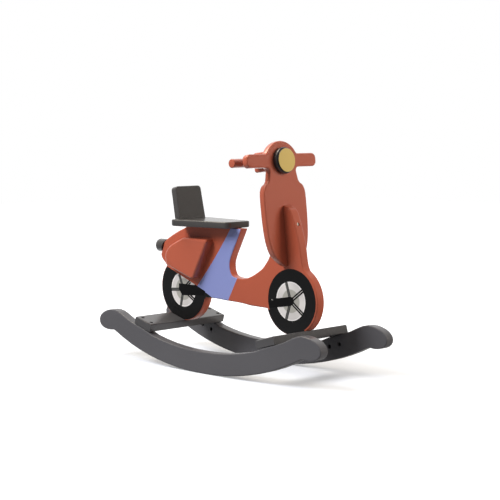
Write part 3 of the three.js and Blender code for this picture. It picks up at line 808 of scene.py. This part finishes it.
@dataclass
class WheelPrint:
    """The printed rim, hub disc, spokes and arm on one face of the panel, over one painted tyre.

    Most spokes have a slate core between dark borders. The lined ones stand out more, with
    wider borders and a thin light line between them.
    """

    name: str
    wheel: WheelSize
    side: Side
    arm: np.ndarray
    cut_reach: float = math.inf
    cut_angle: float = 0.0
    panel_half: float = 12 * MM
    ink_depth: float = 0.03 * MM
    round_steps: int = 96
    lined_width: float = 9.4 * MM
    light_line: float = 1.5 * MM
    lined_spokes: tuple[int, ...] = (0, 4)
    extras: tuple[tuple[np.ndarray, Ink], ...] = ()

    def limit(self, angles: np.ndarray) -> np.ndarray:
        """Find how far the print may reach from the hub: cut reach / cos(angle - cut angle).

        Args:
            angles: The angles round the hub.

        Returns:
            The reach at each angle, without limit where the way doesn't meet the cut.
        """
        cosine = np.cos(angles - self.cut_angle)
        return np.where(cosine > LEAST_COSINE, self.cut_reach / np.maximum(cosine, LEAST_COSINE), np.inf)

    def disc(self, radius: float) -> np.ndarray:
        """Outline a disc round the hub: r(a) = min(radius, limit(a)).

        Args:
            radius: Its radius.

        Returns:
            X and Z of each corner.
        """
        angles = round_angles(self.round_steps)
        reach = np.minimum(radius, self.limit(angles))
        return np.array(self.wheel.hub) + reach[:, None] * unit_vectors(angles)

    def spoke(self, angle: float, width: float) -> np.ndarray:
        """Outline a straight bar from the hub to the rim.

        Args:
            angle: Its angle.
            width: Its width.

        Returns:
            X and Z of its four corners.
        """
        angles = np.array([angle])
        along = unit_vectors(angles)
        across = along[:, ::-1] * [-1, 1] * width / 2
        near = self.wheel.spoke_start * along
        far = np.minimum(self.wheel.rim_radius, self.limit(angles)) * along
        corners = np.concatenate([near - across, far - across, far + across, near + across])
        return np.array(self.wheel.hub) + corners

    def outlines(self) -> list[tuple[np.ndarray, Ink]]:
        """List the print's layers, from the lowest to the highest.

        Returns:
            Each layer's outline and ink.
        """
        wheel = self.wheel
        layers = [
            (self.disc(wheel.rim_radius), Ink.EDGE),
            (self.disc(wheel.rim_radius - wheel.bright_edge), Ink.RIM),
            (self.disc(wheel.hub_disc_radius + wheel.soft_step), Ink.STEP),
            (self.disc(wheel.hub_disc_radius), Ink.HUB),
        ]
        for number in range(wheel.spoke_count):
            bars = ((wheel.spoke_width, Ink.SPOKE), (wheel.spoke_core, Ink.CORE))
            if number in self.lined_spokes:
                bars = ((self.lined_width, Ink.BLACK), (self.light_line, Ink.LINE))
            angle = wheel.first_spoke + number * math.tau / wheel.spoke_count
            layers += [(self.spoke(angle, width), ink) for width, ink in bars]
        return [*layers, (self.arm, Ink.BLACK), *self.extras]

    def build(self, inks: list[Material]) -> None:
        """Build the print from its layers, each a little higher than the last.

        Args:
            inks: The material of each ink, in their order.
        """
        layers = []
        for order, (outline, ink) in enumerate(self.outlines(), start=1):
            points, faces = film(outline, self.side, self.panel_half, self.ink_depth * order)
            layers.append((points, faces, list(Ink).index(ink)))
        points, faces, numbers = merge_layers(layers)
        mesh = bpy.data.meshes.new(self.name)
        mesh.from_pydata(points.tolist(), [], faces)
        piece = new_object(self.name, mesh, *inks)
        mesh.polygons.foreach_set("material_index", numbers.astype(np.int32))
        mesh.update()
        place_piece(piece, "black_lacquer")


@dataclass
class RockingBase:
    """Two rockers joined by two cross boards, with the bolts and barrel nuts that hold them."""

    sides: tuple[str, ...] = ("right", "left")
    ends: tuple[str, ...] = ("front", "rear")
    rows: tuple[str, ...] = ("inner", "outer")

    def build(self) -> None:
        """Dress the base: charcoal boards, black bolts and zinc barrel nuts."""
        lengthwise = CHARCOAL.material(Grain.ALONG_X)
        # Painted shade: the cross boards get a darker copy of the rockers' charcoal, standing in for the
        # shade they sit in.
        crosswise = SHADED_BOARD_CHARCOAL.material(Grain.ALONG_Y)
        bolts = BLACK_STEEL.material()
        # Painted shade: the nuts' near-black zinc stands in for the shade inside their bores.
        nuts = SHADED_ZINC_STEEL.material()
        for side in self.sides:
            rocker = eased_copy(f"rocker_{side}", f"rocker_board_{side}", lengthwise)
            place_piece(rocker, "charcoal_lacquer", f"rocker_{side}")
        for end in self.ends:
            board = eased_copy(f"{end}_cross_board", f"{end}_cross_board_eased", crosswise)
            place_piece(board, "charcoal_lacquer", f"{end}_cross_board")
            for side in self.sides:
                for row in self.rows:
                    dress_node(f"{end}_bolt_{side}_{row}", bolts)
                    dress_node(f"{end}_barrel_nut_{side}_{row}", nuts)


@dataclass
class ScooterBody:
    """The main panel with its prints, the cowls, the seat, the backrest and the tail piece.

    The outlines of the printed arms and the glint are X and Z in millimetres.
    """

    rear_arm: tuple[Pair, ...] = (
        (-186.2, 158.6), (-108, 164.4), (-108, 175), (-135, 187.4), (-198, 187.3), (-197.8, 172.8),
    )
    front_arm: tuple[Pair, ...] = (
        (114, 154.5), (137, 158), (179, 164.8), (187, 168), (190.5, 173),
        (190.5, 179), (187, 184.5), (180, 186.3), (135, 178.4), (114, 175.4),
    )
    glint: tuple[Pair, ...] = ((119.5, 174.6), (124.6, 172.9), (125.2, 173.9), (120, 175.8))
    knob_place: Pair = (119.5 * MM, 166.6 * MM)
    knob_radius: float = 9.4 * MM
    knob_steps: int = 32

    def boards(self) -> None:
        """Dress the panel, the cowls, the seat, the backrest and the tail piece."""
        orange = ORANGE.material(Grain.ALONG_X)
        slate = SLATE.material(Grain.ALONG_X)
        slate_across = SLATE.material(Grain.ALONG_Y)
        for node, name, finish, slot in (
            ("main_panel", "scooter_panel", PANEL.material(Grain.ALONG_X), "orange_lacquer"),
            ("cowl_right", "side_cowl_right", orange, "orange_lacquer"),
            ("cowl_left", "side_cowl_left", orange, "orange_lacquer"),
            ("seat", "seat_board", slate, "slate_lacquer"),
            ("backrest", "backrest_board", slate_across, "slate_lacquer"),
            ("tail_piece", "tail_disc", slate, "slate_lacquer"),
        ):
            place_piece(eased_copy(node, name, finish), slot, node)

    def fasteners(self) -> None:
        """Dress the screws and dowels, which are CAD nodes shown as they are."""
        zinc = ZINC_STEEL.material()
        beech = BEECH.material()
        for node in ("front_panel_screw", "rear_panel_screw", "backrest_screw"):
            for number in (1, 2):
                dress_node(f"{node}_{number}", zinc)
        dowels = ("cowl_dowel_1", "cowl_dowel_2", "seat_dowel_1", "seat_dowel_2", "seat_dowel_3")
        for node in (*dowels, "tail_dowel"):
            dress_node(node, beech)

    def wheel_inks(self) -> dict[WheelSize, list[Material]]:
        """Make the inks of the wheels, which share all but the rim's, whose sectors turn about the hub.

        Returns:
            Each wheel's inks, in their order.
        """
        shared = {ink: ink.value.material() for ink in Ink if ink is not Ink.RIM}
        plain = Ink.RIM.value
        inks = {}
        for end, wheel in (("rear", REAR_WHEEL), ("front", FRONT_WHEEL)):
            rim = replace(plain, name=f"{plain.name}_{end}", centre=wheel.hub).material()
            inks[wheel] = [shared.get(ink, rim) for ink in Ink]
        return inks

    def prints(self) -> None:
        """Print both wheels on both faces. The rear one is cut off along the body's lower edge."""
        inks = self.wheel_inks()
        start, end = np.array(BODY_LINE)
        run = end - start
        normal = np.array([-run[1], run[0]]) / np.hypot(*run)
        cut_reach = float((start - REAR_WHEEL.hub) @ normal)
        cut_angle = math.atan2(normal[1], normal[0])
        knob = np.array(self.knob_place) + self.knob_radius * unit_vectors(round_angles(self.knob_steps))
        extras = ((knob, Ink.BLACK), (MM * np.array(self.glint), Ink.LINE))
        rear_arm, front_arm = MM * np.array(self.rear_arm), MM * np.array(self.front_arm)
        for side in Side:
            rear, front = (f"{end}_wheel_print_{side.name.lower()}" for end in ("rear", "front"))
            WheelPrint(rear, REAR_WHEEL, side, rear_arm, cut_reach, cut_angle).build(inks[REAR_WHEEL])
            WheelPrint(front, FRONT_WHEEL, side, front_arm, extras=extras).build(inks[FRONT_WHEEL])

    def build(self) -> None:
        """Dress the body and print its wheels."""
        self.boards()
        self.fasteners()
        self.prints()


@dataclass
class ShieldAndHandlebar:
    """The shield board, its headlight, and the block and dowel of the handlebar."""

    rake: float = math.radians(6.7)
    light_foot: Pair = (144.0 * MM, 497.2 * MM)
    puck_radius: float = 31.0 * MM
    puck_depth: float = 11.0 * MM
    puck_side: float = 4.5 * MM
    recess_radius: float = 27.8 * MM
    recess_floor: float = 8.7 * MM
    bore_radius: float = 4.5 * MM
    face_radius: float = 27.5 * MM
    face_back: float = 9.0 * MM
    face_front: float = 14.0 * MM
    face_ease: float = 0.7 * MM
    ease_steps: int = 6
    flat_cosine: float = 0.9

    def headlight(self) -> None:
        """Turn the puck, whose front edge is well rounded, and the face let into it.

        The face is yellow on its flat alone. Its rim is black, as the puck.
        """
        black = BLACK.material(Grain.ALONG_Z)
        yellow = YELLOW.material(Grain.ALONG_Z)
        edge = quarter_round((self.puck_radius, self.puck_side), (self.recess_radius, self.puck_depth))
        hollow = [
            (self.recess_radius, self.recess_floor),
            (self.bore_radius, self.recess_floor),
            (self.bore_radius, 0.0),
            (self.puck_radius, 0.0),
        ]
        puck = Turning("headlight_puck", np.concatenate([edge, hollow]), self.light_foot, self.rake)
        place_piece(new_object(puck.name, puck.mesh(), black), "black_lacquer", "headlight_housing")
        ease = quarter_round(
            (self.face_radius, self.face_front - self.face_ease),
            (self.face_radius - self.face_ease, self.face_front),
            self.ease_steps,
        )
        middle = [(0.0, self.face_front), (0.0, self.face_back), (self.face_radius, self.face_back)]
        face = Turning("headlight_face", np.concatenate([ease, middle]), self.light_foot, self.rake)
        mesh = face.mesh()
        piece = new_object(face.name, mesh, yellow, black)
        normals = np.empty(3 * len(mesh.polygons), dtype=np.float32)
        mesh.polygons.foreach_get("normal", normals)
        forward = normals.reshape(-1, 3) @ face.axis()
        mesh.polygons.foreach_set("material_index", (forward < self.flat_cosine).astype(np.int32))
        mesh.update()
        place_piece(piece, "yellow_lacquer", "headlight_lens")

    def build(self) -> None:
        """Dress the shield's pieces."""
        upright = UPRIGHT_ORANGE.material(Grain.ALONG_Z)
        across = UPRIGHT_ORANGE.material(Grain.ALONG_Y)
        zinc = ZINC_STEEL.material()
        self.headlight()
        for node, name, finish in (
            ("shield", "shield_board", upright),
            ("handlebar_block", "handlebar_carrier", across),
            ("handlebar_dowel", "handlebar_grip", across),
        ):
            place_piece(eased_copy(node, name, finish), "orange_lacquer", node)
        # Painted highlight: the fin screw's pale zinc stands in for the gleam on its head.
        dress_node("fin_screw", HIGHLIT_ZINC_STEEL.material())
        dress_node("block_screw_1", zinc)
        dress_node("block_screw_2", zinc)
        dress_node("headlight_dowel", BEECH.material())


@dataclass(frozen=True)
class StudioCamera:
    """The camera at the photograph's viewing angle, in front of the scooter's right side."""

    yaw: float = math.radians(44.54)
    pitch: float = math.radians(5.14)
    roll: float = math.radians(-0.25)
    target: Triple = (2.6 * MM, 0.0, 214.86 * MM)
    distance: float = 3278.2 * MM
    shift_right: float = 25.61 * MM
    shift_up: float = 63.87 * MM
    focal_pixels: float = 1372.35
    frame_pixels: float = 500
    sensor: float = 36.0
    far_clip: float = 50.0
    dip: float = math.radians(0.15)
    rise: float = 3.0 * MM

    def build(self) -> None:
        """Put the camera at target + distance back + the two shifts, and look along back.

        The whole set is then turned by the dip about Y and lifted by the rise, because the
        scooter stands a hair nose-down before the lens.
        """
        out = math.cos(self.pitch)
        back = np.array([math.sin(self.yaw) * out, -math.cos(self.yaw) * out, math.sin(self.pitch)])
        level = np.array([math.cos(self.yaw), math.sin(self.yaw), 0.0])
        upright = np.cross(back, level)
        right = math.cos(self.roll) * level + math.sin(self.roll) * upright
        up = -math.sin(self.roll) * level + math.cos(self.roll) * upright
        place = np.array(self.target) + back * self.distance + right * self.shift_right + up * self.shift_up
        data = bpy.data.cameras.new("studio_camera")
        data.sensor_width = self.sensor
        data.lens = self.focal_pixels / self.frame_pixels * self.sensor
        data.clip_end = self.far_clip
        camera = new_object("studio_camera", data)
        turn = np.array(Matrix.Rotation(-self.dip, 3, "Y"))
        axes = turn @ np.column_stack([right, up, back, place])
        axes[2, 3] += self.rise
        camera.matrix_world = Matrix([*axes.tolist(), [0, 0, 0, 1]])
        bpy.context.scene.camera = camera


@dataclass(frozen=True)
class Softbox:
    """A square lamp that faces the middle of the scooter.

    The lacquer shows its image only if it is mirrored, which a fill lamp isn't.
    """

    name: str
    place: Triple
    size: float
    power: float
    colour: str
    mirrored: bool = False
    aim: Triple = (0.0, 0.0, 0.25)

    def hang(self) -> None:
        """Hang the lamp at its place."""
        data = bpy.data.lights.new(self.name, "AREA")
        data.size = self.size
        data.energy = self.power
        data.color = linear(self.colour)[:3]
        lamp = new_object(self.name, data)
        lamp.visible_glossy = self.mirrored
        way = Vector(self.aim) - Vector(self.place)
        lamp.matrix_world = Matrix.LocRotScale(Vector(self.place), way.to_track_quat("-Z", "Y"), None)


@dataclass
class Studio:
    """White sweep, soft lamps and world light."""

    floor_half: float = 6.0
    paper_colour: str = "F3F7FF"
    seen_albedo: float = 0.66
    hidden_albedo: float = 0.32
    near_glow: float = 0.3
    far_glow: float = 1.0
    glow_middle: Triple = (-0.08, -0.08, 0.0)
    glow_range: Pair = (0.35, 0.95)
    world_level: float = 0.17
    sweep_way: Triple = (-0.7, 0.71, 0.0)
    sweep_range: Pair = (0.2, 0.85)
    mirror_level: float = 0.12
    lit_range: Pair = (0.35, 0.7)
    lamps: tuple[Softbox, ...] = (
        Softbox("overhead_softbox", (-0.8, -0.45, 2.2), 1.3, 35.0, "FFF3DE", mirrored=True),
        Softbox("side_softbox", (-0.85, -2.15, 2.4), 1.4, 110.0, "FBFCFF"),
        Softbox("front_softbox", (2.05, 1.65, 1.2), 1.5, 61.0, "FFF5E8"),
    )

    def sight(self, tree: NodeTree, way: NodeSocket) -> tuple[NodeSocket, NodeSocket]:
        """Find how white the paper looks to a ray, and how much of its light a reflection keeps.

        The camera and glass see it white all round. A reflection sees it white where the
        sweep stands, behind the object, and dim on the studio's other sides. Its share f
        rises from mirror_level to 1 as the cosine between the ray's way and sweep_way runs
        over sweep_range.

        Args:
            tree: The node tree of the floor or the world.
            way: The ray's way, or the place on the floor that it meets.

        Returns:
            The whiteness, which is 0 for a diffuse ray, f for a reflection and else 1, and
            the share kept, which is f for a reflection and else 1.
        """
        path = add_node(tree, "LightPath")
        heading = add_node(tree, "VectorMath", {0: way}, operation="NORMALIZE")[0]
        ways = {0: heading, 1: self.sweep_way}
        cosine = add_node(tree, "VectorMath", ways, operation="DOT_PRODUCT")["Value"]
        limits = dict(zip(("From Min", "From Max"), self.sweep_range))
        levels = {"Value": cosine, **limits, "To Min": self.mirror_level, "To Max": 1.0}
        share = add_node(tree, "MapRange", levels, interpolation_type="SMOOTHSTEP")[0]
        choice = {"Factor": path["Is Glossy Ray"], "A": 1.0, "B": share}
        kept = add_node(tree, "Mix", choice, data_type="FLOAT")[0]
        open_rays = {0: path["Is Camera Ray"], 1: path["Is Transmission Ray"]}
        direct = add_node(tree, "Math", open_rays, operation="MAXIMUM")[0]
        mirrored = add_node(tree, "Math", {0: path["Is Glossy Ray"], 1: kept}, operation="MULTIPLY")[0]
        white = add_node(tree, "Math", {0: direct, 1: mirrored}, operation="MAXIMUM")[0]
        return white, kept

    def albedo(self, tree: NodeTree, place: NodeSocket, seen: NodeSocket, kept: NodeSocket) -> NodeSocket:
        """Find how much light the floor throws back.

        That is hidden_albedo to diffuse rays and up to seen_albedo to the others. A
        reflection loses it with distance from the object, over lit_range, down to its share.

        Args:
            tree: The node tree.
            place: The point on the floor.
            seen: How white the paper looks to the ray.
            kept: The share that a reflection keeps.

        Returns:
            The paper's colour times the albedo.
        """
        levels = {"Value": seen, "To Min": self.hidden_albedo, "To Max": self.seen_albedo}
        full = add_node(tree, "MapRange", levels)[0]
        reach = add_node(tree, "VectorMath", {0: place}, operation="LENGTH")["Value"]
        limits = dict(zip(("From Min", "From Max"), self.lit_range))
        near = add_node(tree, "MapRange", {"Value": reach, **limits, "To Min": 1.0, "To Max": 0.0})[0]
        lit = add_node(tree, "Math", {0: kept, 1: near}, operation="MAXIMUM")[0]
        albedo = add_node(tree, "Math", {0: full, 1: lit}, operation="MULTIPLY")[0]
        paper = {0: linear(self.paper_colour)[:3], "Scale": albedo}
        return add_node(tree, "VectorMath", paper, operation="SCALE")[0]

    def glow(self, tree: NodeTree, place: NodeSocket, seen: NodeSocket) -> NodeSocket:
        """Find the glow that whitens the floor: it grows over glow_range, away from glow_middle.

        Args:
            tree: The node tree.
            place: The point on the floor.
            seen: How white the paper looks to the ray.

        Returns:
            The glow's strength.
        """
        apart = add_node(tree, "VectorMath", {0: place, 1: self.glow_middle}, operation="DISTANCE")["Value"]
        limits = dict(zip(("From Min", "From Max"), self.glow_range))
        levels = {"Value": apart, **limits, "To Min": self.near_glow, "To Max": self.far_glow}
        level = add_node(tree, "MapRange", levels)[0]
        return add_node(tree, "Math", {0: seen, 1: level}, operation="MULTIPLY")[0]

    def floor(self) -> None:
        """Lay the white floor, which keeps the object's shadow."""
        corners = self.floor_half * np.array([[-1, -1, 0], [1, -1, 0], [1, 1, 0], [-1, 1, 0]])
        mesh = bpy.data.meshes.new("studio_floor")
        mesh.from_pydata(corners.tolist(), [], [[0, 1, 2, 3]])
        material, tree, place = new_material("white_studio_paper")
        seen, kept = self.sight(tree, place)
        diffuse = add_node(tree, "BsdfDiffuse", {"Color": self.albedo(tree, place, seen, kept)})
        glow = add_node(tree, "Emission", {"Strength": self.glow(tree, place, seen)})
        both = add_node(tree, "AddShader", {0: diffuse[0], 1: glow[0]})
        add_node(tree, "OutputMaterial", {"Surface": both[0]})
        new_object("studio_floor", mesh, material)

    def world(self) -> None:
        """Light evenly from all round, and show white behind the object."""
        world = bpy.data.worlds.new("studio_world")
        world.use_nodes = True
        tree = world.node_tree
        tree.nodes.clear()
        seen, _ = self.sight(tree, add_node(tree, "TexCoord")["Generated"])
        strength = add_node(tree, "MapRange", {"Value": seen, "To Min": self.world_level, "To Max": 1.0})
        light = add_node(tree, "Background", {"Color": (1, 1, 1, 1), "Strength": strength[0]})
        add_node(tree, "OutputWorld", {"Surface": light[0]})
        world.cycles.sampling_method = "NONE"
        bpy.context.scene.world = world

    def build(self) -> None:
        """Build floor, world and lamps."""
        self.floor()
        self.world()
        for lamp in self.lamps:
            lamp.hang()
        bpy.context.scene.view_settings.view_transform = "Standard"


def main() -> None:
    """Build the camera, the scooter's three assemblies and the studio."""
    logging.basicConfig(level=logging.INFO, format="%(name)s: %(message)s")
    StudioCamera().build()
    for assembly in (RockingBase(), ScooterBody(), ShieldAndHandlebar()):
        assembly.build()
        log.info("assembly %s is built", type(assembly).__name__)
    Studio().build()


if __name__ == "__main__":
    main()
